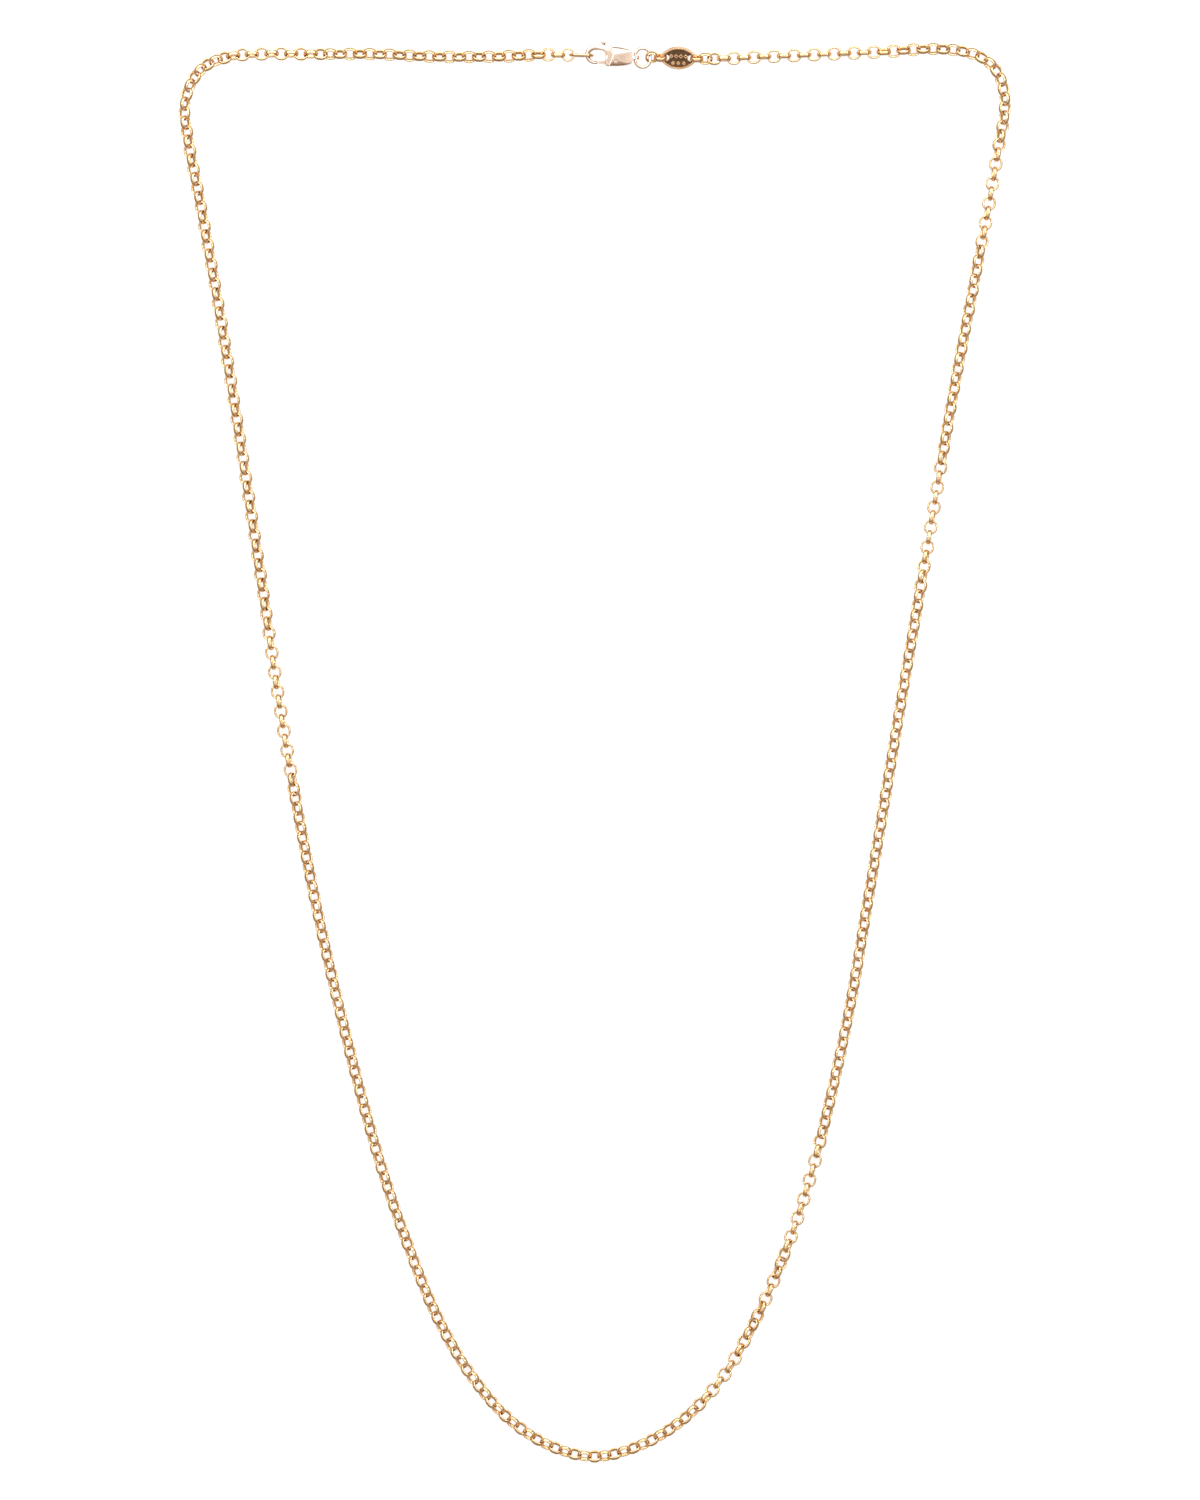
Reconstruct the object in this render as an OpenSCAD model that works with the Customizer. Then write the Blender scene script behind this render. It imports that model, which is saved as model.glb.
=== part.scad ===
/* [Links] */
// Outside diameter of one round link
link_od = 2.74; // [2.5:0.02:3.1]
// Thickness of a link's wall, from its hole to its outside
link_wall = 0.36; // [0.26:0.01:0.4]
// Width of a link's band, along the axis of its hole
link_band = 0.86; // [0.7:0.02:1]
// Slack left between the links beside the tag, short of taut
link_play = 0.15; // [0.12:0.01:0.3]

/* [Jump rings] */
// Thickness of the wire of both jump rings
wire_d = 0.6; // [0.5:0.02:0.7]
// Length of the oval ring in the clasp's eye
end_ring_len = 5; // [4.6:0.1:6]
// Width of the clasp's ring, along the chain
clasp_ring_w = 3.6; // [3.4:0.05:4]
// Height of the clasp's ring, across the chain
clasp_ring_h = 4.4; // [4.2:0.05:5]
// Air between a ring's wire and the metal that it is looped round
ring_gap = 0.15; // [0.12:0.01:0.2]
// Air between the oval ring's wire and the nose of the clasp
eye_gap = 0.2; // [0.2:0.01:0.3]
// Air above and below the hook inside the oval ring
end_ring_room = 0.3; // [0.28:0.01:0.4]

/* [Tag] */
// Length of the tag from point to point
tag_len = 7.6; // [7:0.1:9]
// Width of the tag across its middle
tag_w = 4.5; // [4.3:0.1:5.4]
// Thickness of the tag at its rim
tag_t = 1; // [0.9:0.05:1.2]
// Width of the raised rim
tag_rim = 0.3; // [0.2:0.02:0.4]
// Depth of the field inside the rim
tag_recess = 0.3; // [0.2:0.02:0.4]
// Height of the ornament above the field
tag_relief = 0.2; // [0.1:0.02:0.3]
// Width of the raised lines of the ornament
relief_line = 0.24; // [0.16:0.01:0.28]
// Diameter of the ornament's beads
bead_d = 0.72; // [0.5:0.02:0.9]
// Air round the band of the link in each of the tag's holes
tag_hole_gap = 0.22; // [0.2:0.01:0.3]
// Air between the tag's point and the link that hangs in the link of its hole
tag_tip_gap = 0.163; // [0.15:0.001:0.2]
// Tilt of the tag, its upper edge raised
tag_tilt = 22; // [10:1:30]

/* [Clasp body] */
// Length of the clasp's eye
eye_len = 3.3; // [3.2:0.05:3.8]
// Height of the clasp's eye
eye_h = 2.26; // [2.2:0.02:2.6]
// Wall of the hook above the eye
spine_wall = 1; // [0.8:0.05:1.2]
// Wall of the hook at the nose
nose_wall = 0.95; // [0.7:0.05:1.1]
// Wall of the hook below the eye
tip_wall = 0.6; // [0.5:0.05:0.8]
// Length of the hook from the nose to its free tip
hook_reach = 2.6; // [2.3:0.05:2.8]
// Thickness of the hook
hook_t = 1.7; // [1.5:0.05:1.9]
// Bevel round the eye at the nose, inside the oval ring
eye_bevel = 0.4; // [0.35:0.05:0.5]
// Bevel round the outside of the nose
nose_bevel = 0.3; // [0.2:0.05:0.4]
// Distance from the back of the eye forward to the body's front face below it
jaw_fore = 0.1; // [0.05:0.01:0.2]
// Length of the body behind the eye
body_len = 5.3; // [5:0.1:6]
// Height of the body at its widest
body_h = 4.05; // [3.95:0.05:4.8]
// Distance from the eye to the widest place of the body
crest_back = 1.05; // [0.9:0.05:1.3]
// Height of the body at its tail
tail_h = 2.4; // [2:0.1:2.8]
// Radius of the body's round end at its tail
tail_round_r = 3; // [2.6:0.1:3.6]
// Thickness of the domed body at its middle
body_t = 2.8; // [2.6:0.05:3.1]
// Thickness of the domed body at its tail
tail_t = 1.9; // [1.8:0.05:2.2]
// Thickness of the body and the hook at their upper and lower edges
edge_t = 1.2; // [1:0.05:1.4]
// Distance from the eye to the step where the domed cheeks start
cheek_back = 1.35; // [1.1:0.05:1.6]
// Outside diameter of the eyelet at the tail
eyelet_od = 1.6; // [1.5:0.05:1.8]
// Width of the eyelet, along the axis of its hole
eyelet_t = 0.7; // [0.6:0.05:0.8]
// Distance from the body's tail to the eyelet's hole
eyelet_back = 0.05; // [0.02:0.01:0.12]

/* [Clasp lever] */
// Thickness of the lever's plate
lever_t = 0.7; // [0.6:0.02:0.8]
// Air on each side of the lever in its slot
lever_gap = 0.1; // [0.08:0.01:0.12]
// Depth of the gate that closes the eye
gate_wall = 0.45; // [0.35:0.05:0.5]
// Air between the gate's end and the hook's tip
gate_gap = 0.2; // [0.18:0.01:0.25]
// Distance from the back of the eye forward to the front of the lever's slot
slot_fore = 0.65; // [0.55:0.05:0.7]
// Width of the lever's arm where it leaves the slot
arm_w = 0.85; // [0.7:0.05:0.9]
// Room behind the arm in the slot, for the lever's swing
arm_room = 1.25; // [1.25:0.05:1.5]
// Diameter of the lever's boss round the rivet
boss_d = 1.5; // [1.4:0.05:1.6]
// Distance of the rivet behind the eye
pivot_back = 1.95; // [1.85:0.05:2.1]
// Distance of the rivet below the clasp's middle line
pivot_drop = 1; // [0.9:0.05:1.1]
// Diameter of the rivet
rivet_d = 0.7; // [0.5:0.05:0.8]
// Running clearance round the rivet
rivet_gap = 0.05; // [0.03:0.01:0.08]
// Depth of the rivet's ends below the top of the cheeks
rivet_inset = 0.14; // [0.12:0.01:0.2]
// Diameter of the thumb knob
knob_d = 0.85; // [0.7:0.05:1]
// Thickness of the thumb knob
knob_t = 1.3; // [1.1:0.05:1.6]
// Distance from the front of the slot forward to the middle of the knob
knob_fore = 0.1; // [0:0.05:0.3]
// Gap between the knob and the spine below it
knob_rise = 0.12; // [0.1:0.01:0.3]

/* [Hidden] */
$fn = 48;
// Facets of the long arcs
arc_fn = 96;

// Route of the chain on the table, chosen by hand, clockwise from the tag to the bottom of the loop
ROUTE_RIGHT = [[34.5, 139], [46.5, 139.5], [58.5, 140], [69, 140.5], [74, 140], [78, 138.5], [80.5, 136],
    [82, 131.5], [82, 127.5], [81, 122], [79.5, 113], [76, 94], [72, 73], [68.5, 52.5], [65, 31.5],
    [61.5, 11], [58, -10], [54.5, -31], [51, -51.5], [47.5, -68], [43.5, -84], [38, -100.5],
    [31.5, -115], [25, -126], [16.5, -134.5], [8.5, -139]];
// Lowest point of the loop, where the two halves of the chain meet
ROUTE_BOTTOM = [0, -141];
// Route from the bottom of the loop up the left side and back to the clasp
ROUTE_LEFT = [[-8.5, -139], [-16.5, -134], [-24.5, -125], [-31, -114], [-37, -99.5], [-42.5, -83.5],
    [-47, -67.5], [-51, -51.5], [-55.5, -31.5], [-59.5, -11], [-63, 9.5], [-66, 30], [-69, 50],
    [-72, 69.5], [-75.5, 91], [-79, 110.5], [-81.5, 124], [-82, 128.5], [-81, 133], [-78, 137],
    [-73, 139], [-67, 139.5], [-56, 139.5], [-44, 139.5], [-32, 139], [-20, 139]];
// Place of the middle of the clasp's eye, and the slope of the row of clasp and tag
row_at = [0.7, 139.15];
row_slope = -1.5;
// Slope of the clasp, which lies a little across the row
clasp_slope = -3;

// Links that aren't square to what they hold sit closer to it, by these shares of their band
skew_share = 0.2;
ring_skew_share = 0.45;
// Links: radii, and the distance of two links that hold each other
link_r = link_od / 2;
link_hole_r = link_r - link_wall;
link_mid_r = link_r - link_wall / 2;
link_step = 2 * link_hole_r - skew_share * link_band - link_play;
// Corners of the rounded section of a link's band, and how full the section is
section_corners = 12;
section_fullness = 0.85;

// Chain tubes: as wide as the links, flat side down
tube_sides = 8;
tube_r = link_r;
tube_z = tube_r * cos(180 / tube_sides);
// Air between the last solid link and the end of a tube
tube_gap = 0.3;
// A ring of the tube at each point of the route, and between them at least once in this turn
ring_turn = 10;

// Clasp: the eye's ends, the hook's outer circle and the domed body
eye_back = eye_len / 2;
eye_r = eye_h / 2;
hook_r = (eye_h + spine_wall + tip_wall) / 2;
nose_x = -eye_back - nose_wall;
hook_at = [nose_x + hook_r, (spine_wall - tip_wall) / 2];
spine_top = eye_r + spine_wall;
tip_x = nose_x + hook_reach;
jaw_x = eye_back - jaw_fore;
crest_x = eye_back + crest_back;
tail_x = eye_back + body_len;

// Lever: pivot, slot and gate, then the arm from its slot down to the boss
pivot = [eye_back + pivot_back, -pivot_drop];
slot_t = lever_t + 2 * lever_gap;
slot_front = eye_back - slot_fore;
slot_end_gap = 0.15;
gate_x = tip_x + gate_gap;
boss_r = boss_d / 2;
pocket_gap = 0.25;
pocket_back = pivot[0] + boss_r + pocket_gap;
arm_front = slot_front + slot_end_gap;
arm_back = arm_front + arm_w;
slot_back = arm_back + arm_room;
elbow_back = 0.5;
elbow_share = 0.6;
crotch_back = 0.1;
crotch_share = 0.75;
boss_turn = 40;
elbow_at = [arm_back + elbow_back, eye_r * elbow_share];
crotch_at = [eye_back + crotch_back, -eye_r * crotch_share];
knob_at = [slot_front - knob_fore, spine_top + knob_rise + knob_d / 2];
neck_share = 0.9;
neck_r = knob_d / 2 * neck_share;
rivet_hole_r = rivet_d / 2 + rivet_gap;
rivet_len = body_t - 2 * rivet_inset;

// Eyelet and the ring through it
eyelet_hole_r = wire_d / 2 + ring_gap;
eyelet_x = tail_x + eyelet_hole_r + eyelet_back;

// Places along the row, from the middle of the eye
end_ring_h = hook_t + 2 * wire_d + 2 * end_ring_room;
end_ring_right = -eye_back + eye_gap + wire_d / 2;
end_ring_x = end_ring_right - (end_ring_len - wire_d) / 2;
end_ring_hole_r = end_ring_h / 2 - wire_d;
// How far the round end of the ring's hole has curved in at the height of the link's band
end_ring_curve = end_ring_hole_r - sqrt(end_ring_hole_r^2 - (link_band / 2)^2);
end_link_x = end_ring_x - end_ring_len / 2 + wire_d - link_hole_r + ring_gap + end_ring_curve;
clasp_ring_reach = clasp_ring_w - wire_d;
clasp_ring_x = eyelet_x + clasp_ring_reach / 2;
// How far the sloping clasp carries its ring down beside the row
clasp_ring_drop = eyelet_x * sin(row_slope - clasp_slope);
// The ring's wire crosses the leaning link at a slant, so it lies well inside the link's hole
clasp_link_x = eyelet_x + clasp_ring_reach + link_hole_r - wire_d / 2 - ring_skew_share * link_band;
tag_link_x = clasp_link_x + link_step;
tag_hole_d = link_band + 2 * tag_hole_gap;
tag_hole_inset = link_step - link_r + link_mid_r - tag_tip_gap;
tag_hole_pitch = tag_len - 2 * tag_hole_inset;
tag_x = tag_link_x + link_mid_r + tag_hole_pitch / 2;
tag_out_x = tag_x + tag_hole_pitch / 2 + link_mid_r;

// Heights above the table, and how far each link is rolled from lying flat
clasp_z = max(end_ring_h, body_t) / 2;
row_z = max(link_r, tag_w / 2 * sin(tag_tilt) + tag_t / 2 * cos(tag_tilt));
clasp_ring_slope = atan((clasp_z - row_z) / clasp_ring_reach);
end_link_roll = 6;
clasp_link_roll = 48;
tag_link_lean = 6;
tag_link_roll = 90 + tag_tilt + tag_link_lean;
tag_out_roll = 90 + tag_tilt;

// Ornament of the tag: how many, and their sizes and places as shares of the tag's width
lozenge_count = 4;
bead_count = 3;
lozenge_share = 0.2;
lozenge_pitch_share = 0.215;
lozenge_rise_share = 0.09;
bead_pitch_share = 0.24;
bead_drop_share = 0.23;

// The whole route, with its ends beside the last solid links
function turned(p, a) = [p[0] * cos(a) - p[1] * sin(a), p[0] * sin(a) + p[1] * cos(a)];
function on_row(x) = row_at + turned([x, 0], row_slope);
ROUTE = concat([on_row(tag_out_x + link_r + tube_gap)], ROUTE_RIGHT, [ROUTE_BOTTOM], ROUTE_LEFT,
    [on_row(end_link_x - link_r - tube_gap)]);
bottom_i = len(ROUTE_RIGHT) + 1;
last_i = len(ROUTE) - 1;

function unit(v) = v / norm(v);
function leg(i) = norm(ROUTE[i + 1] - ROUTE[i]);
// Heading of the route at a point: the circle through it and its neighbours, or the row's slope at an end
function heading(i) = i == 0 || i == last_i
    ? [cos(row_slope), sin(row_slope)]
    : unit(unit(ROUTE[i] - ROUTE[i - 1]) * leg(i) + unit(ROUTE[i + 1] - ROUTE[i]) * leg(i - 1));
function bend(i) = acos(min(1, heading(i) * heading(i + 1)));
function steps(i) = max(1, ceil(bend(i) / ring_turn));

// Point and heading at share t of leg i, on a smooth curve through the route
function blend_at(i, t) = ROUTE[i] * (2 * t^3 - 3 * t^2 + 1) + ROUTE[i + 1] * (3 * t^2 - 2 * t^3)
    + (heading(i) * (t^3 - 2 * t^2 + t) + heading(i + 1) * (t^3 - t^2)) * leg(i);
function blend_heading(i, t) = unit((ROUTE[i] - ROUTE[i + 1]) * (6 * t^2 - 6 * t)
    + (heading(i) * (3 * t^2 - 4 * t + 1) + heading(i + 1) * (3 * t^2 - 2 * t)) * leg(i));

// One ring of the tube, in the plane across the heading
function tube_ring(at, head) = [for (k = [0:tube_sides - 1])
    let (a = (k + 0.5) * 360 / tube_sides - 90, out = tube_r * cos(a))
    [at[0] + head[1] * out, at[1] - head[0] * out, tube_z + tube_r * sin(a)]];

// Radius of the arc that falls by drop over half a chord
function arc_r(half_chord, drop) = (half_chord^2 + drop^2) / (2 * drop);

// Chain tube along the route from point a to point b
module tube(a, b) {
    rings = [for (i = [a:b - 1]) for (k = [0:steps(i) - 1])
        tube_ring(blend_at(i, k / steps(i)), blend_heading(i, k / steps(i)))];
    all_rings = concat(rings, [tube_ring(ROUTE[b], heading(b))]);
    n = len(all_rings);
    sides = [for (r = [0:n - 2]) for (k = [0:tube_sides - 1])
        let (p = r * tube_sides + k, q = r * tube_sides + (k + 1) % tube_sides)
        for (face = [[p, q, p + tube_sides], [q, q + tube_sides, p + tube_sides]]) face];
    first_cap = [for (k = [tube_sides - 1:-1:0]) k];
    last_cap = [for (k = [0:tube_sides - 1]) (n - 1) * tube_sides + k];
    polyhedron([for (ring = all_rings) for (p = ring) p], concat(sides, [first_cap, last_cap]));
}

// Round link lying flat: a full, rounded band
module link() {
    function full(v) = sign(v) * pow(abs(v), section_fullness);
    rotate_extrude()
        polygon([for (k = [0:section_corners - 1])
            let (a = (k + 0.5) * 360 / section_corners)
            [link_mid_r + full(cos(a)) * link_wall / 2, full(sin(a)) * link_band / 2]]);
}

// Long ring of round wire lying flat, its length along X
module oval_ring(length, width) {
    bend_r = (width - wire_d) / 2;
    straight = length - width;
    for (side = [0, 180])
        rotate([0, 0, side]) {
            translate([straight / 2, 0, 0])
                rotate([0, 0, -90])
                    rotate_extrude(angle = 180)
                        translate([bend_r, 0]) circle(d = wire_d);
            translate([-straight / 2, bend_r, 0])
                rotate([0, 90, 0])
                    cylinder(d = wire_d, h = straight);
        }
}

// Puts a piece on the row: x along it, z above the table
module on_the_row(x, z) {
    translate([row_at[0], row_at[1], 0])
        rotate([0, 0, row_slope])
            translate([x, 0, z])
                children();
}

// Puts a piece on the clasp, which is turned about the middle of its eye
module on_the_clasp(x) {
    translate([row_at[0], row_at[1], 0])
        rotate([0, 0, clasp_slope])
            translate([x, 0, clasp_z])
                children();
}

module rolled_link(x, z, roll) {
    on_the_row(x, z)
        rotate([roll, 0, 0])
            link();
}

// Pointed oval: the space that two discs share
module navette(length, width) {
    r = arc_r(length / 2, width / 2);
    intersection() {
        translate([0, width / 2 - r]) circle(r = r, $fn = arc_fn);
        translate([0, r - width / 2]) circle(r = r, $fn = arc_fn);
    }
}

// Raised ornament of the tag: a row of open lozenges above a row of beads
module ornament(z, height) {
    lozenge = tag_w * lozenge_share;
    pitch = tag_w * lozenge_pitch_share;
    for (k = [0:lozenge_count - 1])
        translate([(k - (lozenge_count - 1) / 2) * pitch, tag_w * lozenge_rise_share, z])
            difference() {
                cylinder(d = lozenge, h = height, $fn = 4);
                translate([0, 0, -height])
                    cylinder(d = lozenge - 2 * relief_line, h = 3 * height, $fn = 4);
            }
    for (k = [0:bead_count - 1])
        translate([(k - (bead_count - 1) / 2) * tag_w * bead_pitch_share, -tag_w * bead_drop_share, z])
            cylinder(d = bead_d, h = height);
}

// Opening of the eye: two round ends and the straight between them, the nose's end widening at its mouths
module eye() {
    waist = hook_t / 2 - eye_bevel;
    flare = body_t - waist;
    translate([eye_back - eye_r, 0, -body_t])
        cylinder(r = eye_r, h = 2 * body_t);
    translate([eye_r - eye_back, -eye_r, -body_t])
        cube([2 * (eye_back - eye_r), eye_h, 2 * body_t]);
    translate([eye_r - eye_back, 0, 0])
        rotate_extrude()
            polygon([[0, -body_t], [eye_r + flare, -body_t], [eye_r, -waist],
                [eye_r, waist], [eye_r + flare, body_t], [0, body_t]]);
}

// Disc of the hook's nose, bevelled above and below, and taller than the lens that cuts it
module nose_disc() {
    rim = hook_t / 2 - nose_bevel;
    top_r = hook_r / 2;
    top = rim + hook_r - top_r;
    rotate_extrude()
        polygon([[0, -top], [top_r, -top], [hook_r, -rim], [hook_r, rim], [top_r, top], [0, top]]);
}

// Lens across the clasp: thickest on its middle line, edge thickness at its upper and lower edge
module lens_across(middle, edge) {
    r = arc_r(body_h / 2, (middle - edge) / 2);
    intersection_for(side = [-1, 1])
        translate([nose_x - body_len, 0, side * (middle / 2 - r)])
            rotate([0, 90, 0])
                cylinder(r = r, h = 3 * body_len + eye_len, $fn = arc_fn);
}

// Lens along the clasp: thickest at the crest, thinner at the tail
module lens_along() {
    r = arc_r(tail_x - crest_x, (body_t - tail_t) / 2);
    intersection_for(side = [-1, 1])
        translate([crest_x, body_h, side * (body_t / 2 - r)])
            rotate([90, 0, 0])
                cylinder(r = r, h = 2 * body_h, $fn = arc_fn);
}

// Outline of the body behind the eye: two flat arcs and a rounded tail
module belly(height) {
    r = arc_r(tail_x - crest_x, (body_h - tail_h) / 2);
    intersection() {
        edge_strip(r, height);
        translate([tail_x - tail_round_r, 0, -height / 2])
            cylinder(r = tail_round_r, h = height);
    }
    intersection() {
        edge_strip(r, height);
        translate([slot_front, -body_h, -height / 2])
            cube([tail_x - tail_round_r - slot_front, 2 * body_h, height]);
    }
}

// The strip between the upper and the lower arc of the body
module edge_strip(r, height) {
    intersection_for(side = [-1, 1])
        translate([crest_x, side * (body_h / 2 - r), -height / 2])
            cylinder(r = r, h = height, $fn = arc_fn);
}

// Hook, spine and the thin part of the body, all as thick as the hook
module hook_plate() {
    intersection() {
        union() {
            translate([hook_at[0], hook_at[1], 0])
                nose_disc();
            translate([hook_at[0], 0, -body_t])
                cube([crest_x - hook_at[0], spine_top, 2 * body_t]);
            belly(2 * body_t);
        }
        lens_across(hook_t, edge_t);
    }
}

// Domed cheeks, starting at a round step behind the eye
module cheeks() {
    difference() {
        intersection() {
            belly(2 * body_t);
            lens_across(body_t, edge_t);
            lens_along();
        }
        translate([0, 0, -body_t])
            cylinder(r = eye_back + cheek_back, h = 2 * body_t);
    }
}

// Space for the lever: the pocket between the cheeks and the slot through the spine
module lever_pocket() {
    translate([slot_front, -body_h, -slot_t / 2])
        cube([pocket_back - slot_front, body_h + eye_r, slot_t]);
    translate([slot_front, 0, -slot_t / 2])
        cube([slot_back - slot_front, body_h, slot_t]);
}

module eyelet() {
    translate([eyelet_x, eyelet_t / 2, 0])
        rotate([90, 0, 0])
            cylinder(d = eyelet_od, h = eyelet_t);
}

// Outline of the lever: gate, arm and neck
LEVER_EDGE = [
    [gate_x, -eye_r], [gate_x, -eye_r - gate_wall], pivot + [0, -boss_r],
    pivot + boss_r * [cos(boss_turn), sin(boss_turn)], elbow_at, [arm_back, spine_top],
    knob_at + [neck_r, 0], knob_at - [neck_r, 0], [arm_front, spine_top], crotch_at];

module chain_right() {
    color("goldenrod") tube(0, bottom_i);
}

module chain_left() {
    color("goldenrod") tube(bottom_i, last_i);
}

module chain_end_link() {
    color("goldenrod") rolled_link(end_link_x, end_ring_h / 2, end_link_roll);
}

module end_ring() {
    color("goldenrod")
        on_the_row(end_ring_x, end_ring_h / 2)
            rotate([90, 0, 0])
                oval_ring(end_ring_len, end_ring_h);
}

module clasp_body() {
    color("burlywood")
        on_the_clasp(0)
            difference() {
                union() {
                    hook_plate();
                    cheeks();
                    eyelet();
                }
                eye();
                translate([tip_x, -body_h, -body_t])
                    cube([jaw_x - tip_x, body_h, 2 * body_t]);
                lever_pocket();
                translate([pivot[0], pivot[1], -body_t])
                    cylinder(r = rivet_hole_r, h = 2 * body_t);
                translate([eyelet_x, body_h, 0])
                    rotate([90, 0, 0])
                        cylinder(r = eyelet_hole_r, h = 2 * body_h);
            }
}

module clasp_lever() {
    color("burlywood")
        on_the_clasp(0)
            difference() {
                union() {
                    translate([0, 0, -lever_t / 2])
                        linear_extrude(lever_t) polygon(LEVER_EDGE);
                    translate([pivot[0], pivot[1], -lever_t / 2])
                        cylinder(r = boss_r, h = lever_t);
                    translate([knob_at[0], knob_at[1], -knob_t / 2])
                        cylinder(d = knob_d, h = knob_t);
                }
                translate([pivot[0], pivot[1], -body_t])
                    cylinder(r = rivet_hole_r, h = 2 * body_t);
            }
}

module clasp_rivet() {
    color("burlywood")
        on_the_clasp(pivot[0])
            translate([0, pivot[1], -rivet_len / 2])
                cylinder(d = rivet_d, h = rivet_len);
}

module clasp_ring() {
    color("burlywood")
        on_the_row(clasp_ring_x, (clasp_z + row_z) / 2)
            translate([0, -clasp_ring_drop, 0])
                rotate([0, clasp_ring_slope, 0])
                    rotate([0, 0, 90])
                        oval_ring(clasp_ring_h, clasp_ring_w);
}

module clasp_link() {
    color("goldenrod") rolled_link(clasp_link_x, row_z, clasp_link_roll);
}

module tag_link() {
    color("goldenrod") rolled_link(tag_link_x, row_z, tag_link_roll);
}

module tag() {
    color("peru")
        on_the_row(tag_x, row_z)
            rotate([tag_tilt, 0, 0])
                difference() {
                    union() {
                        difference() {
                            translate([0, 0, -tag_t / 2])
                                linear_extrude(tag_t) navette(tag_len, tag_w);
                            translate([0, 0, tag_t / 2 - tag_recess])
                                linear_extrude(tag_t)
                                    navette(tag_len - 2 * tag_rim * tag_len / tag_w, tag_w - 2 * tag_rim);
                        }
                        ornament(0, tag_t / 2 - tag_recess + tag_relief);
                    }
                    for (side = [-1, 1])
                        translate([side * tag_hole_pitch / 2, 0, -tag_t])
                            cylinder(d = tag_hole_d, h = 2 * tag_t);
                }
}

module tag_out_link() {
    color("goldenrod") rolled_link(tag_out_x, row_z, tag_out_roll);
}

chain_right();
chain_left();
chain_end_link();
end_ring();
clasp_body();
clasp_lever();
clasp_rivet();
clasp_ring();
clasp_link();
tag_link();
tag();
tag_out_link();
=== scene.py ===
"""A long rolo chain necklace with a lobster clasp and a small tag, laid flat in one open loop."""
import math
import random
from collections import namedtuple

import bmesh
import bpy
import numpy as np
from mathutils import Matrix, Vector


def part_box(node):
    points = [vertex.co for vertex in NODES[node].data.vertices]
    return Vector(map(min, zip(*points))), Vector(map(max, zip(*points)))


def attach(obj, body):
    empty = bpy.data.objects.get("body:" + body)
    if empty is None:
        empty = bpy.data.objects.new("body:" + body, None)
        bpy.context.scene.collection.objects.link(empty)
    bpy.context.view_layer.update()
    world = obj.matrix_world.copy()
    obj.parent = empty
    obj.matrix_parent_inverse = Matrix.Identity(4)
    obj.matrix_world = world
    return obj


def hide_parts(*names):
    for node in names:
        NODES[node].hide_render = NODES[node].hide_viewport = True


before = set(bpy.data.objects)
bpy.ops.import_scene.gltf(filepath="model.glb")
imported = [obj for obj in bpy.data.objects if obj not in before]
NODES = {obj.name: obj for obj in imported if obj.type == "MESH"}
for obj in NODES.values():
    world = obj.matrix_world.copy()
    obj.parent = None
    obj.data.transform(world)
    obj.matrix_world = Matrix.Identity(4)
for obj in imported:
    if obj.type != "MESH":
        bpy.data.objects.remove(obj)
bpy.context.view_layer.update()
MM = 0.001
SEED = 7
WHITE = (1, 1, 1, 1)

# Links: a rounded band. A fullness of 1 gives it an oval section and less a squarer one. Each half of a loose
# link is drawn out a little along its length, so that the links turn in one another and hardly cut in
Link = namedtuple("Link", "width wall fullness lengthening")
SOLID_LINK = Link(2.74 * MM, 0.36 * MM, 0.85, 0)
LOOSE_LINK = Link(2.74 * MM, 0.44 * MM, 0.95, 0.13 * MM)
LINK_BAND = 0.86 * MM
# How quickly a drawn out link's end turns into its straight side
END_SHARPNESS = 6
SECTION_CORNERS = 12
LINK_SEGMENTS = 28

# Jump rings: round wire, each ring's length and width, and how the clasp's ring rises along its run
WIRE_R = 0.3 * MM
WIRE_CORNERS = 18
RING_END_SEGMENTS = 28
OVAL_RING = (5 * MM, 3.5 * MM)
CLASP_RING = (4.4 * MM, 3.6 * MM)
CLASP_RING_SLOPE = math.atan2(0.38, 3)

# Row of clasp and tag: its slope and the tag's tilt
ROW_SLOPE = math.radians(-1.5)
TAG_TILT = math.radians(22)
# Single links on the row: piece, node that it stands for, and roll in degrees
SINGLE_LINKS = [
    ("end_link", "chain_end_link", 6), ("clasp_side_link", "clasp_link", 48),
    ("tag_side_link", "tag_link", 118), ("tag_far_link", "tag_out_link", 112)]

# Clasp: its slope, and as seen from the middle of its eye the rivet's place and hole, the step between hook
# and cheeks, the tail, the top of the spine and the hook's tip
CLASP_SLOPE = math.radians(-3)
PIVOT = np.array([3.6, -1]) * MM
RIVET_HOLE_R = 0.4 * MM
CHEEK_STEP_R = 3 * MM
TAIL_X = 6.95 * MM
SPINE_TOP = 2.13 * MM
HOOK_TIP = np.array([0.2, -1.5]) * MM
TIP_R = 0.6 * MM

# Tag: its thickness, how deep its field lies, how high the pattern stands on it, how far below the field a
# point still counts as dark, and the share by which a surface looks up that is dark in full
TAG_T = 1 * MM
TAG_RECESS = 0.3 * MM
TAG_RELIEF = 0.2 * MM
TAG_BACK = 0.1 * MM
TAG_FACING = 0.5

# Softened solids: voxel in mm and rounds of easing. Corners closer than a voxel divided by this are joined
CLASP_EASE = (0.04, 60)
LEVER_EASE = (0.03, 20)
TAG_EASE = (0.035, 8)
JOIN_PART = 20
# Shares by which points move towards their neighbours: a round that keeps the size, and one that domes
EASE = [0.5, -0.52]
DOME = [0.5]
DOME_ROUNDS = 260
# How loose hook, step and knob are when the solids are domed, the cheeks being fully loose
HOOK_SHARE = 0.4
STEP_SHARE = 0.12
KNOB_SHARE = 0.5
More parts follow.
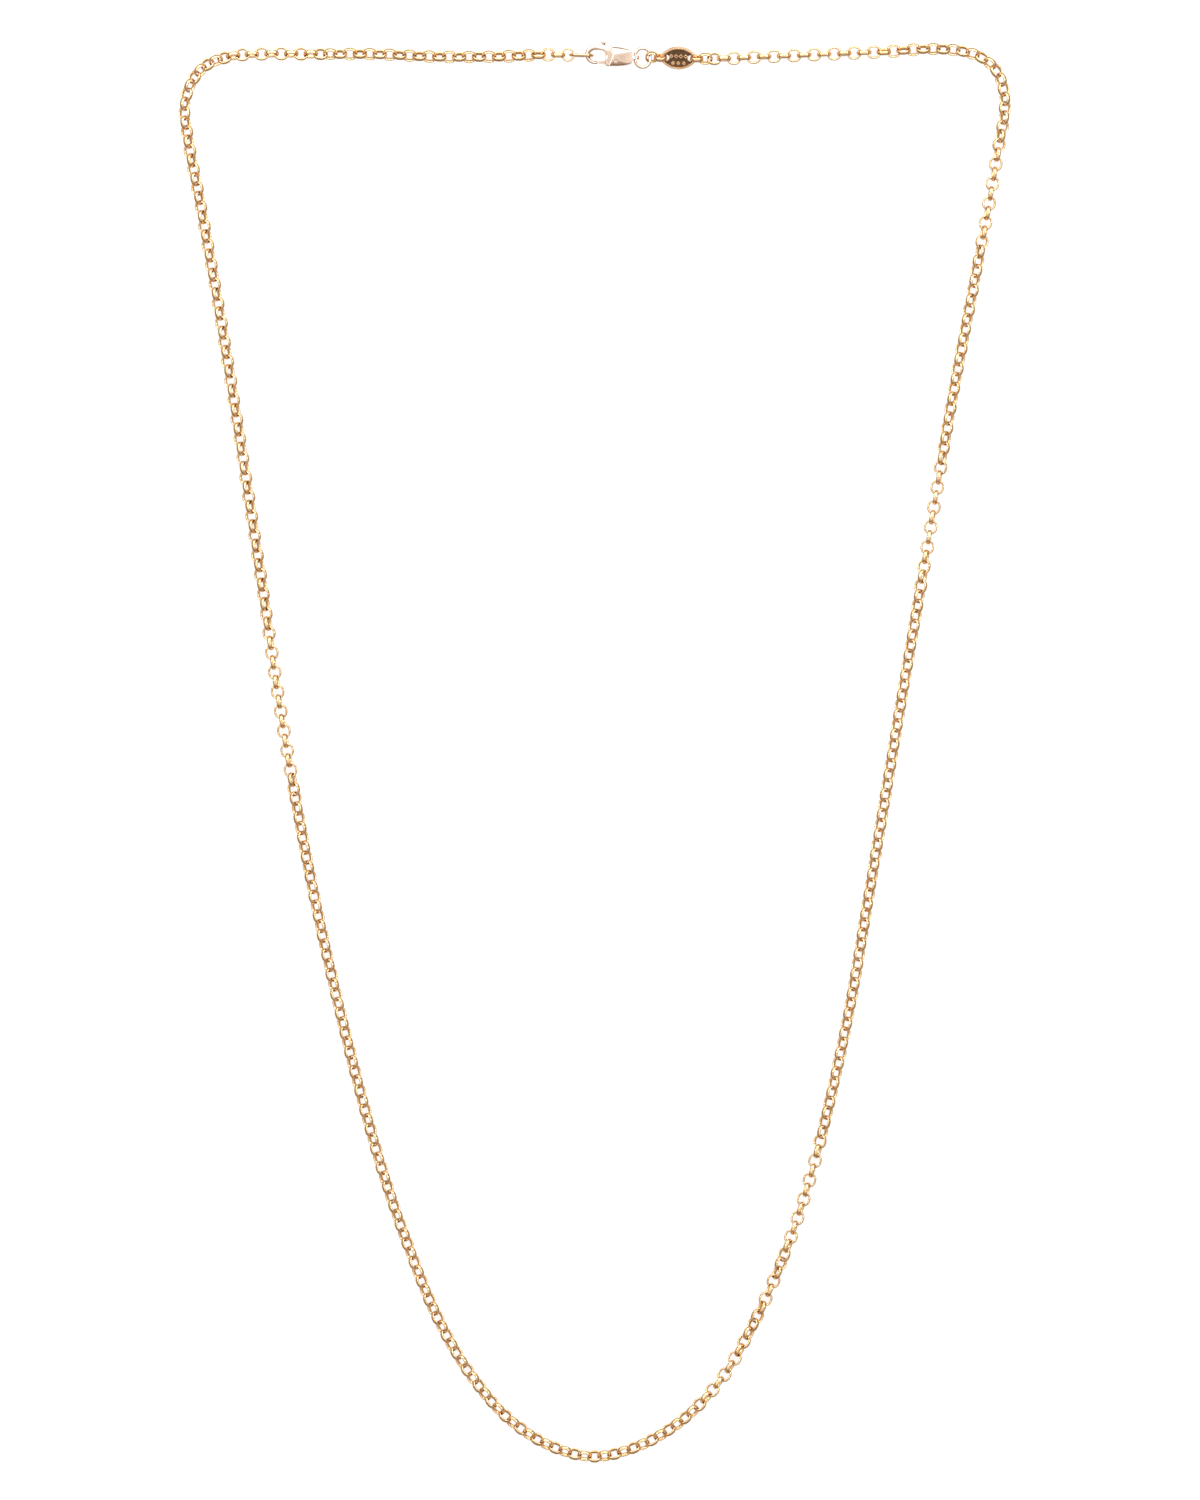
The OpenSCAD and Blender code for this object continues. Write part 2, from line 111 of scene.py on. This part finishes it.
# Widths over which a surface goes from firm to loose, and how far the step's looseness reaches to each side
CREASE = 0.12 * MM
HOOK_FADE = 2 * CREASE
STEP_FADE = 2 * CREASE
STEP_REACH = 3 * CREASE
TIP_FADE = 3 * CREASE
RIVET_FADE = 3 * CREASE
TAIL_FADE = 8 * CREASE

# Route of the chain on the table, clockwise from the tag to the bottom of the loop and back to the clasp
ROUTE_RIGHT = [
    (0.0345, 0.139), (0.0465, 0.1395), (0.0585, 0.14), (0.069, 0.1405), (0.074, 0.14), (0.078, 0.1385),
    (0.0805, 0.136), (0.082, 0.1315), (0.082, 0.1275), (0.081, 0.122), (0.0795, 0.113), (0.076, 0.094),
    (0.072, 0.073), (0.0685, 0.0525), (0.065, 0.0315), (0.0615, 0.011), (0.058, -0.01), (0.0545, -0.031),
    (0.051, -0.0515), (0.0475, -0.068), (0.0435, -0.084), (0.038, -0.1005), (0.0315, -0.115),
    (0.025, -0.126), (0.0165, -0.1345), (0.0085, -0.139)]
ROUTE_BOTTOM = (0, -0.141)
ROUTE_LEFT = [
    (-0.0085, -0.139), (-0.0165, -0.134), (-0.0245, -0.125), (-0.031, -0.114), (-0.037, -0.0995),
    (-0.0425, -0.0835), (-0.047, -0.0675), (-0.051, -0.0515), (-0.0555, -0.0315), (-0.0595, -0.011),
    (-0.063, 0.0095), (-0.066, 0.03), (-0.069, 0.05), (-0.072, 0.0695), (-0.0755, 0.091),
    (-0.079, 0.1105), (-0.0815, 0.124), (-0.082, 0.1285), (-0.081, 0.133), (-0.078, 0.137),
    (-0.073, 0.139), (-0.067, 0.1395), (-0.056, 0.1395), (-0.044, 0.1395), (-0.032, 0.139),
    (-0.02, 0.139)]
# Air between the last solid link and the end of a tube
TUBE_GAP = 0.3 * MM

# Numbers of the solid links at the route's ends, in the tag's hole and at the clasp
TAG_OUT_INDEX = -2
END_INDEX = 370
# Chart of the twist: link, roll in degrees of the links with even numbers, the odd ones being square to them
TWIST = [
    (-2, -68), (-1, -46), (0, -24), (1, -2), (14, 0), (20, 35), (24, 45), (36, 60), (39, 86), (45, 86),
    (50, 42), (68, 38), (71, 5), (78, 4), (84, 47), (136, 46), (140, 7), (148, 8), (151, 50), (153, 82),
    (155, 82), (158, 46), (162, 10), (165, 12), (169, 41), (256, 41), (259, 84), (271, 84), (275, 62),
    (305, 60), (323, 56), (334, 52), (337, 78), (343, 78), (347, 38), (366, 36), (368, 14), (370, 6)]
# Chart of the spacing: link, distance in mm to the next one
SPACING = [
    (-2, 1.83), (-1, 1.86), (0, 2), (30, 1.99), (32, 1.87), (36, 1.87), (38, 1.98), (55, 1.99), (70, 2.01),
    (140, 2.01), (150, 1.95), (162, 1.94), (170, 1.99), (250, 1.99), (270, 1.97), (290, 1.95), (315, 1.95),
    (320, 1.9), (329, 1.9), (331, 1.83), (335, 1.83), (338, 1.95), (345, 1.98), (370, 1.98)]
# How much closer two links sit for each degree that they are out of square, in mm
TWIST_LOSS = 0.004
# Chart of how far the clasp's side holds the last links up: link, height in mm
LIFT = [(-2, 0), (363, 0), (369, 0.32), (370, 0.32)]
# How far a flat link sags between its upright neighbours
SAG = 0.2 * MM
# Unevenness of the links: roll, lean and turn in degrees, and size as a share
UNEVEN_ROLL = 3.5
UNEVEN_LEAN = 3
UNEVEN_TURN = 2
UNEVEN_SIZE = 0.008

# Range in which most of a noise lies, and the detail of coarse and fine noise
MOST_NOISE = (0.3, 0.7)
COARSE = 2.0
FINE = 3
# Polished golds: two tints and their patches a metre, the dark tint of the painted shade in the hollows, how
# far around a hollow that painted shade is felt, between which shares of open air it fades, the roughness and
# its smears a metre, and the ripples a metre with their height and strength
CHAIN_GOLD = {
    "tints": [(0.84, 0.55, 0.27, 1), (0.93, 0.66, 0.37, 1)], "patches": 260,
    "painted_shade_tint": (0.42, 0.2, 0.06, 1), "painted_shade_reach": 0.5 * MM, "painted_shade_air": (0.25, 0.8),
    "roughness": (0.1, 0.24), "smears": 1500,
    "ripples": 1100, "ripple_height": 0.03 * MM, "ripple_strength": 0.5}
CLASP_GOLD = {
    "tints": [(0.76, 0.55, 0.415, 1), (0.84, 0.65, 0.515, 1)], "patches": 300,
    "painted_shade_tint": (0.34, 0.19, 0.11, 1), "painted_shade_reach": 0.9 * MM, "painted_shade_air": (0.25, 0.85),
    "roughness": (0.06, 0.16), "smears": 1200,
    "ripples": 700, "ripple_height": 0.03 * MM, "ripple_strength": 0.3}
# Gold of the tag: tints and patches of what is raised, tints of the dark field and how far its grain lets it
# cover the gold, the roughness of what is raised and of the field, and the grain a metre with its height and
# strength
TAG_GOLD = {
    "tints": [(0.88, 0.54, 0.29, 1), (0.96, 0.66, 0.4, 1)], "patches": 500,
    "field_tints": [(0.045, 0.022, 0.012, 1), (0.12, 0.06, 0.03, 1)], "field_cover": (0.8, 1),
    "roughness": (0.24, 0.5), "grain": 2500, "grain_height": 0.04 * MM, "grain_strength": 0.6}

# Table: half its side, how far below the necklace it lies, its grey, and the light that it gives by itself
TABLE_HALF = 1.5
TABLE_DROP = 0.02 * MM
TABLE_GREY = (0.2, 0.2, 0.2, 1)
TABLE_ROUGHNESS = 0.8
TABLE_GLOW = 0.86

# Light tent: brightness by the height of the direction, from straight down to overhead
TENT = [
    (-1, 0.95), (-0.6, 0.75), (-0.25, 0.42), (0.2, 0.36), (0.5, 0.62), (0.75, 1.0), (0.9, 1.25), (0.97, 1.1),
    (1, 0.95)]
# How much brighter its far side is than its near side, each way
TENT_SLANT = 0.3
# Its folds: how close and how fine they are, the range of their noise, and how bright it makes them
FOLDS = 3.2
FOLD_DETAIL = 1
FOLD_NOISE = (0.35, 0.65)
FOLD_BRIGHTNESS = (0.75, 1.25)
# Tint of its dim parts, and the brightness from which the tint fades and at which it is gone
DIM_TINT = (1, 0.82, 0.68, 1)
WARM_TO_WHITE = (0.3, 1.0)
# Lamps: name, place, width, depth and brightness. The low card beyond the top row lights that row the most
LAMPS = [
    ("left_lamp", (-0.75, 0.3, 0.95), 0.22, 0.22, 14), ("right_lamp", (0.8, 0.2, 0.9), 0.22, 0.22, 14),
    ("far_lamp", (0.1, 0.85, 0.9), 0.22, 0.22, 14), ("far_card", (0, 0.29, 0.17), 0.6, 0.2, 2.2)]

# Camera: place over the table, height above the links' middle, height of the picture there, width of its
# sensor and reach of its sight
CAMERA_PLACE = (0.0011, 0.0003)
CAMERA_HEIGHT = 3
PICTURE_HEIGHT = 0.3
SENSOR = 36
SIGHT = 10


def unit(v):
    """Vector of the same direction with length 1."""
    return v / np.linalg.norm(v)


def box_centre(node):
    """Middle of a CAD node's box."""
    low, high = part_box(node)
    return np.array((low + high) / 2)


def in_scene(obj):
    """The object, put in the scene."""
    bpy.context.scene.collection.objects.link(obj)
    return obj


class Route:
    """Smooth curve from the link in the tag's hole to the solid link at the clasp."""

    # Points on each leg
    SAMPLES = 60

    def __init__(self):
        along = np.array([math.cos(ROW_SLOPE), math.sin(ROW_SLOPE)])
        first = box_centre("tag_out_link")[:2]
        last = box_centre("chain_end_link")[:2]
        reach = SOLID_LINK.width / 2 + TUBE_GAP
        middle = [np.array(p) for p in [*ROUTE_RIGHT, ROUTE_BOTTOM, *ROUTE_LEFT]]
        points = [first, first + along * reach, *middle, last - along * reach, last]
        headings = [along, along, *(self.heading(*points[i - 1:i + 2]) for i in range(2, len(points) - 2)),
                    along, along]
        shares = np.linspace(0, 1, self.SAMPLES, endpoint=False)
        curve = [self.blend(points[i], points[i + 1], headings[i], headings[i + 1], t)
                 for i in range(len(points) - 1) for t in shares]
        self.points = np.array([*curve, last])
        steps = np.linalg.norm(np.diff(self.points, axis=0), axis=1)
        self.lengths = np.concatenate([[0], np.cumsum(steps)])

    @staticmethod
    def heading(before, here, after):
        """Heading of the circle through three points, at the middle one."""
        a, b = here - before, after - here
        return unit(unit(a) * np.linalg.norm(b) + unit(b) * np.linalg.norm(a))

    @staticmethod
    def blend(p, q, p_heading, q_heading, t):
        """Point at share t of the leg from p to q."""
        leg = np.linalg.norm(q - p)
        return (p * (2 * t**3 - 3 * t**2 + 1) + q * (3 * t**2 - 2 * t**3)
                + (p_heading * (t**3 - 2 * t**2 + t) + q_heading * (t**3 - t**2)) * leg)

    def at(self, length):
        """Point of the route that far from its start."""
        return np.array([np.interp(length, self.lengths, self.points[:, k]) for k in (0, 1)])


def chart(rows, index):
    """Value of a chart between its rows."""
    return float(np.interp(index, [row[0] for row in rows], [row[1] for row in rows]))


def link_section(link):
    """Corners of the band's rounded section: distance from the hole's axis and place along it."""
    angles = (np.arange(SECTION_CORNERS) + 0.5) * 2 * math.pi / SECTION_CORNERS
    out, up = [np.sign(v) * np.abs(v) ** link.fullness for v in (np.cos(angles), np.sin(angles))]
    return (link.width - link.wall + out * link.wall) / 2, up * LINK_BAND / 2


def loop_faces(count, corners):
    """Quads of a closed ring of closed sections."""
    k, j = np.meshgrid(np.arange(count), np.arange(corners), indexing="ij")
    next_k, next_j = (k + 1) % count, (j + 1) % corners
    quads = [k * corners + j, next_k * corners + j, next_k * corners + next_j, k * corners + next_j]
    return np.stack(quads, axis=-1).reshape(-1, 4)


def link_vertices(link):
    """A link lying flat round the origin, its length along X."""
    radius, rise = link_section(link)
    turn = np.arange(LINK_SEGMENTS)[:, None] * 2 * math.pi / LINK_SEGMENTS
    x = radius * np.cos(turn) + link.lengthening * np.clip(END_SHARPNESS * np.cos(turn), -1, 1)
    y = radius * np.sin(turn)
    return np.stack([x, y, np.broadcast_to(rise, x.shape)], axis=-1).reshape(-1, 3)


def placed(vertices, place):
    """Vertices moved by a 4x4 matrix."""
    matrix = np.array(place)
    return vertices @ matrix[:3, :3].T + matrix[:3, 3]


def piece(name, vertices, faces, material, body, slot, *nodes):
    """Mesh object that rides on a body and stands for CAD nodes."""
    mesh = bpy.data.meshes.new(name)
    mesh.from_pydata([tuple(v) for v in vertices], [], [tuple(f) for f in faces])
    mesh.materials.append(material)
    mesh.shade_smooth()
    return dressed(bpy.data.objects.new(name, mesh), body, slot, *nodes)


def dressed(obj, body, slot, *nodes):
    """Puts an object in the scene on its body, in the place of its CAD nodes."""
    in_scene(obj)
    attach(obj, body)
    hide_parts(*nodes)
    return obj


def link_height(roll):
    """Height of a rolled loose link's middle when it rests on the table."""
    radius, rise = link_section(LOOSE_LINK)
    return float(np.max(radius * abs(math.sin(roll)) + rise * abs(math.cos(roll))))


def uneven_place(centre, ahead, roll, dice):
    """Place of a link as a matrix, a little off in roll, lean, turn and size."""
    wobble = [dice.uniform(-1, 1) for _ in range(4)]
    rolled = Matrix.Rotation(roll + math.radians(UNEVEN_ROLL) * wobble[0], 4, "X")
    lean = Matrix.Rotation(math.radians(UNEVEN_LEAN) * wobble[1], 4, "Y")
    turn = Matrix.Rotation(math.atan2(ahead[1], ahead[0]) + math.radians(UNEVEN_TURN) * wobble[2], 4, "Z")
    size = Matrix.Diagonal((1 + UNEVEN_SIZE * wobble[3], 1 - UNEVEN_SIZE * wobble[3], 1, 1))
    return Matrix.Translation(centre) @ turn @ lean @ rolled @ size


def link_places():
    """Places of the loose links along the route, as matrices, with none of them below the table."""
    dice = random.Random(SEED)
    route = Route()
    indices = np.arange(TAG_OUT_INDEX, END_INDEX + 1)
    twist = np.array([chart(TWIST, i) for i in indices])
    steps = np.array([chart(SPACING, i) for i in indices[:-1]]) - TWIST_LOSS * np.abs(np.diff(twist))
    reaches = np.concatenate([[0], np.cumsum(steps)])
    reaches *= route.lengths[-1] / reaches[-1]
    centres = [route.at(reach) for reach in reaches]
    rolls = np.radians(twist + 90 * (indices % 2))
    shape = link_vertices(LOOSE_LINK)
    places = []
    for k in range(1, len(indices) - 1):
        tallest = max(link_height(rolls[k + n]) for n in (-1, 0, 1))
        height = max(link_height(rolls[k]), tallest - SAG) + chart(LIFT, indices[k]) * MM
        ahead = unit(centres[k + 1] - centres[k - 1])
        place = uneven_place((*centres[k], height), ahead, rolls[k], dice)
        lowest = float(placed(shape, place)[:, 2].min())
        places.append(Matrix.Translation((0, 0, max(0, -lowest))) @ place)
    return places


def chain(name, places, material, node):
    """Half of the chain, as interlocking links in one mesh."""
    shape = link_vertices(LOOSE_LINK)
    faces = loop_faces(LINK_SEGMENTS, SECTION_CORNERS)
    vertices = np.concatenate([placed(shape, place) for place in places])
    all_faces = np.concatenate([faces + k * len(shape) for k in range(len(places))])
    return piece(name, vertices, all_faces, material, "necklace", "chain_gold", node)


def row_turn(roll):
    """Rotation of a piece on the row, rolled about the row's line."""
    return Matrix.Rotation(ROW_SLOPE, 4, "Z") @ Matrix.Rotation(roll, 4, "X")


def single_link(name, node, roll, material):
    """Link that stands for a solid link of the frame, in its place."""
    place = Matrix.Translation(box_centre(node)) @ row_turn(math.radians(roll))
    vertices = placed(link_vertices(SOLID_LINK), place)
    faces = loop_faces(LINK_SEGMENTS, SECTION_CORNERS)
    return piece(name, vertices, faces, material, "necklace", "chain_gold", node)


def oval_ring(length, width):
    """Ring of round wire lying flat, its length along X: vertices and faces."""
    bend_r = width / 2 - WIRE_R
    straight = (length - width) / 2
    corner = np.arange(WIRE_CORNERS) * 2 * math.pi / WIRE_CORNERS
    rows = []
    for side in (1, -1):
        for turn in np.linspace(-math.pi / 2, math.pi / 2, RING_END_SEGMENTS + 1):
            radius = bend_r + WIRE_R * np.cos(corner)
            rows.append(np.stack([side * (straight + radius * math.cos(turn)),
                                  side * radius * math.sin(turn), WIRE_R * np.sin(corner)], axis=-1))
    return np.concatenate(rows), loop_faces(len(rows), WIRE_CORNERS)


def jump_ring(name, node, size, turn, material, slot):
    """Ring that stands for a ring of the frame, in its place."""
    vertices, faces = oval_ring(*size)
    place = Matrix.Translation(box_centre(node)) @ turn
    return piece(name, placed(vertices, place), faces, material, "necklace", slot, node)


def eased(points, edges, factors, loose):
    """Points drawn towards the middle of their neighbours by each factor in turn, if they are loose."""
    ends = np.concatenate([edges[:, 0], edges[:, 1]])
    others = np.concatenate([edges[:, 1], edges[:, 0]])
    count = np.maximum(np.bincount(ends, minlength=len(points)), 1)[:, None]
    for factor in factors:
        total = np.stack([np.bincount(ends, points[others, k], len(points)) for k in range(3)], axis=-1)
        points = points + factor * loose[:, None] * (total / count - points)
    return points


def remeshed(node, voxel):
    """Copy of a CAD solid's mesh in even small faces, in millimetres."""
    mesh = NODES[node].data.copy()
    mesh.transform(Matrix.Scale(1 / MM, 4))
    joined = bmesh.new()
    joined.from_mesh(mesh)
    bmesh.ops.remove_doubles(joined, verts=joined.verts, dist=voxel / JOIN_PART)
    joined.to_mesh(mesh)
    joined.free()
    blank = in_scene(bpy.data.objects.new(node + "_blank", mesh))
    remesh = blank.modifiers.new("remesh", "REMESH")
    remesh.mode = "VOXEL"
    remesh.voxel_size = voxel
    evaluated = blank.evaluated_get(bpy.context.evaluated_depsgraph_get())
    finished = bpy.data.meshes.new_from_object(evaluated)
    bpy.data.objects.remove(blank)
    return finished


def softened(name, node, ease, material, body, slot, domed=None):
    """Copy of a CAD solid with its edges rounded, as polishing leaves them, and domed where it is loose."""
    voxel, rounds = ease
    mesh = remeshed(node, voxel)
    points = np.empty(len(mesh.vertices) * 3)
    mesh.vertices.foreach_get("co", points)
    edges = np.empty(len(mesh.edges) * 2, dtype=np.int64)
    mesh.edges.foreach_get("vertices", edges)
    points, edges = points.reshape(-1, 3), edges.reshape(-1, 2)
    points = eased(points, edges, EASE * rounds, np.ones(len(points)))
    if domed:
        points = eased(points, edges, DOME * DOME_ROUNDS, domed(points * MM))
    mesh.vertices.foreach_set("co", (points * MM).ravel())
    mesh.update()
    mesh.materials.clear()
    mesh.materials.append(material)
    mesh.shade_smooth()
    return dressed(bpy.data.objects.new(name, mesh), body, slot, node)


def ramp(distance, width):
    """Smooth rise from 0 to 1 over a width."""
    share = np.clip(distance / width, 0, 1)
    return share * share * (3 - 2 * share)


def from_the_eye(points):
    """Places of points in the clasp's own plane, seen from the middle of its eye."""
    away = points[:, :2] - box_centre("clasp_rivet")[:2]
    along = np.array([math.cos(CLASP_SLOPE), math.sin(CLASP_SLOPE)])
    return np.stack([away @ along, away @ np.array([-along[1], along[0]])], axis=-1) + PIVOT


def body_looseness(points):
    """Full on the cheeks, less on hook and step, and none at the rivet, the eyelet and the hook's tip."""
    place = from_the_eye(points)
    past_step = np.linalg.norm(place, axis=1) - CHEEK_STEP_R
    past_rivet = np.linalg.norm(place - PIVOT, axis=1) - RIVET_HOLE_R
    past_tip = np.linalg.norm(place - HOOK_TIP, axis=1) - TIP_R
    before_tail = TAIL_X - place[:, 0]
    cheek = ramp(past_step, CREASE) * ramp(past_rivet, RIVET_FADE) * ramp(before_tail, TAIL_FADE)
    hook = ramp(-past_step, HOOK_FADE) * ramp(past_tip, TIP_FADE)
    step = ramp(STEP_REACH - abs(past_step), STEP_FADE)
    return cheek + HOOK_SHARE * hook + STEP_SHARE * step * (1 - cheek)


def lever_looseness(points):
    """Some on the knob, and none elsewhere."""
    return KNOB_SHARE * ramp(from_the_eye(points)[:, 1] - SPINE_TOP, CREASE)


class Nodes:
    """Node tree with helpers."""

    def __init__(self, tree):
        self.tree = tree

    def node(self, kind, **inputs):
        """New node, its inputs linked or set."""
        made = self.tree.nodes.new("ShaderNode" + kind)
        for key, value in inputs.items():
            self.put(value, made.inputs[key.replace("_", " ")])
        return made

    def put(self, value, socket):
        """Links an output to a socket, or sets the socket's own value."""
        if isinstance(value, bpy.types.NodeSocket):
            self.tree.links.new(value, socket)
        else:
            socket.default_value = value

    def noise(self, place, scale, detail):
        """Noise of that many cells a unit, between 0 and 1."""
        return self.node("TexNoise", Vector=place, Scale=scale, Detail=detail).outputs["Fac"]

    def spread(self, value, target, source=MOST_NOISE, clamp=True):
        """Value carried from the source range to the target range, and held inside it if clamped."""
        made = self.node("MapRange", Value=value)
        made.clamp = clamp
        for key, number in zip(("From Min", "From Max", "To Min", "To Max"), (*source, *target)):
            made.inputs[key].default_value = number
        return made.outputs["Result"]

    def mix(self, share, first, second):
        """Colour between two."""
        made = self.tree.nodes.new("ShaderNodeMix")
        made.data_type = "RGBA"
        for socket, value in zip((made.inputs[0], made.inputs[6], made.inputs[7]), (share, first, second)):
            self.put(value, socket)
        return made.outputs[2]

    def multiply(self, first, second):
        """Product of two values."""
        made = self.tree.nodes.new("ShaderNodeMath")
        made.operation = "MULTIPLY"
        self.put(first, made.inputs[0])
        self.put(second, made.inputs[1])
        return made.outputs[0]


class Shader(Nodes):
    """Material of one Principled shader."""

    def __init__(self, name, **sockets):
        self.material = bpy.data.materials.new(name)
        self.material.use_nodes = True
        super().__init__(self.material.node_tree)
        self.main = self.tree.nodes["Principled BSDF"]
        for key, value in sockets.items():
            self.main.inputs[key.replace("_", " ")].default_value = value

    def grain(self, scale, detail=COARSE):
        """Noise on the surface, of that many cells a metre."""
        return self.noise(self.node("NewGeometry").outputs["Position"], scale, detail)

    def bump(self, height, distance, strength):
        """Fine relief of the surface."""
        made = self.node("Bump", Height=height, Strength=strength, Distance=distance)
        self.put(made.outputs["Normal"], self.main.inputs["Normal"])


def polished_gold(name, look):
    """Polished gold, patchy in tint and gloss, with painted brown shade in the hollows."""
    shader = Shader(name, Metallic=1.0)
    tint = shader.mix(shader.spread(shader.grain(look["patches"]), (0, 1)), *look["tints"])
    # Painted shade: where ambient occlusion finds the surface hemmed in, as where links cross, the base
    # colour turns to the dark shade tint
    air = shader.node("AmbientOcclusion", Distance=look["painted_shade_reach"]).outputs["AO"]
    color = shader.mix(shader.spread(air, (0, 1), look["painted_shade_air"]), look["painted_shade_tint"], tint)
    shader.put(color, shader.main.inputs["Base Color"])
    roughness = shader.spread(shader.grain(look["smears"]), look["roughness"])
    shader.put(roughness, shader.main.inputs["Roughness"])
    shader.bump(shader.grain(look["ripples"], FINE), look["ripple_height"], look["ripple_strength"])
    return shader.material


def tag_gold(look):
    """Satin gold with a dark, oxidised field, by the mesh's depth: 1 in the field and 0 on what is raised."""
    shader = Shader("tag_gold", Metallic=1.0)
    attribute = shader.node("Attribute")
    attribute.attribute_name = "depth"
    depth = attribute.outputs["Fac"]
    grain = shader.grain(look["grain"], FINE)
    cover = shader.multiply(depth, shader.spread(grain, look["field_cover"]))
    raised = shader.mix(shader.spread(shader.grain(look["patches"]), (0, 1)), *look["tints"])
    field = shader.mix(shader.spread(grain, (0, 1)), *look["field_tints"])
    shader.put(shader.mix(cover, raised, field), shader.main.inputs["Base Color"])
    shader.put(shader.spread(depth, look["roughness"], (0, 1)), shader.main.inputs["Roughness"])
    shader.bump(grain, look["grain_height"], look["grain_strength"])
    return shader.material


def mark_depth(tag):
    """Marks how deep each point of the tag's face lies below its rim."""
    low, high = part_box("tag")
    middle = Vector((low + high) / 2)
    up = row_turn(TAG_TILT) @ Vector((0, 0, 1))
    mesh = tag.data
    heights = np.array([(v.co - middle).dot(up) for v in mesh.vertices])
    facing = np.array([v.normal.dot(up) for v in mesh.vertices])
    field, raised = TAG_T / 2 - TAG_RECESS, TAG_T / 2 - TAG_RECESS + TAG_RELIEF
    deep = np.clip((raised - heights) / (raised - field), 0, 1) * np.clip(facing / TAG_FACING, 0, 1)
    deep[heights < field - TAG_BACK] = 0
    mesh.attributes.new("depth", "FLOAT", "POINT").data.foreach_set("value", deep.astype(np.float32))


def table():
    """White table under the necklace, mostly lit from within so that it stays white."""
    corners = [(x * TABLE_HALF, y * TABLE_HALF, -TABLE_DROP) for x, y in ((-1, -1), (1, -1), (1, 1), (-1, 1))]
    mesh = bpy.data.meshes.new("table")
    mesh.from_pydata(corners, [], [(0, 1, 2, 3)])
    shader = Shader("table_white", Base_Color=TABLE_GREY, Roughness=TABLE_ROUGHNESS, Emission_Color=WHITE,
                    Emission_Strength=TABLE_GLOW, Specular_IOR_Level=0)
    mesh.materials.append(shader.material)
    obj = in_scene(bpy.data.objects.new("table", mesh))
    obj.visible_glossy = False


def softbox(name, place, width, depth, radiance):
    """Flat lamp that faces the middle of the necklace, as bright as it looks."""
    data = bpy.data.lights.new(name, "AREA")
    data.shape = "RECTANGLE"
    data.size, data.size_y = width, depth
    data.energy = radiance * math.pi * width * depth
    lamp = in_scene(bpy.data.objects.new(name, data))
    lamp.location = place
    lamp.rotation_euler = (-Vector(place)).to_track_quat("-Z", "Y").to_euler()


def tent(nodes):
    """Brightness and colour of the light tent in each direction."""
    direction = nodes.node("TexCoord").outputs["Generated"]
    split = nodes.node("SeparateXYZ", Vector=direction)
    by_height = nodes.node("FloatCurve", Value=split.outputs["Z"])
    curve = by_height.mapping
    curve.use_clip = False
    points = curve.curves[0].points
    while len(points) < len(TENT):
        points.new(0, 0)
    for point, row in zip(points, TENT):
        point.location = row
        point.handle_type = "VECTOR"
    curve.update()
    slant = nodes.spread(split.outputs["Y"], (1 - TENT_SLANT, 1 + TENT_SLANT), (-1, 1), clamp=False)
    folds = nodes.spread(nodes.noise(direction, FOLDS, FOLD_DETAIL), FOLD_BRIGHTNESS, FOLD_NOISE)
    brightness = nodes.multiply(nodes.multiply(by_height.outputs["Value"], slant), folds)
    return brightness, nodes.mix(nodes.spread(brightness, (0, 1), WARM_TO_WHITE), DIM_TINT, WHITE)


def studio():
    """A light tent, bright overhead and dim at the horizon, with small strong lamps for sparkle."""
    world = bpy.data.worlds.new("studio")
    world.use_nodes = True
    nodes = Nodes(world.node_tree)
    background = world.node_tree.nodes["Background"]
    brightness, color = tent(nodes)
    nodes.put(brightness, background.inputs["Strength"])
    nodes.put(color, background.inputs["Color"])
    bpy.context.scene.world = world
    for lamp in LAMPS:
        softbox(*lamp)
    bpy.context.scene.view_settings.view_transform = "Standard"


def camera():
    """Camera straight above, at the photograph's framing of the chain's middle height."""
    data = bpy.data.cameras.new("camera")
    data.sensor_width = SENSOR
    data.lens = SENSOR * CAMERA_HEIGHT / PICTURE_HEIGHT
    data.clip_end = SIGHT
    obj = in_scene(bpy.data.objects.new("camera", data))
    obj.location = (*CAMERA_PLACE, CAMERA_HEIGHT + SOLID_LINK.width / 2)
    bpy.context.scene.camera = obj


def necklace():
    """All visible pieces."""
    gold, clasp = polished_gold("chain_gold", CHAIN_GOLD), polished_gold("clasp_gold", CLASP_GOLD)
    antique = tag_gold(TAG_GOLD)
    places = link_places()
    half = len(places) // 2
    chain("links_right", places[:half], gold, "chain_right")
    chain("links_left", places[half:], gold, "chain_left")
    for name, node, roll in SINGLE_LINKS:
        single_link(name, node, roll, gold)
    upright = row_turn(math.pi / 2)
    jump_ring("oval_ring", "end_ring", OVAL_RING, upright, gold, "chain_gold")
    sloping = row_turn(0) @ Matrix.Rotation(CLASP_RING_SLOPE, 4, "Y") @ Matrix.Rotation(math.pi / 2, 4, "Z")
    jump_ring("clasp_jump_ring", "clasp_ring", CLASP_RING, sloping, clasp, "clasp_gold")
    softened("polished_clasp", "clasp_body", CLASP_EASE, clasp, "necklace", "clasp_gold", body_looseness)
    softened("polished_lever", "clasp_lever", LEVER_EASE, clasp, "lever", "clasp_gold", lever_looseness)
    mark_depth(softened("antiqued_tag", "tag", TAG_EASE, antique, "necklace", "tag_gold"))
    for slot in NODES["clasp_rivet"].material_slots:
        slot.material = clasp


necklace()
table()
studio()
camera()
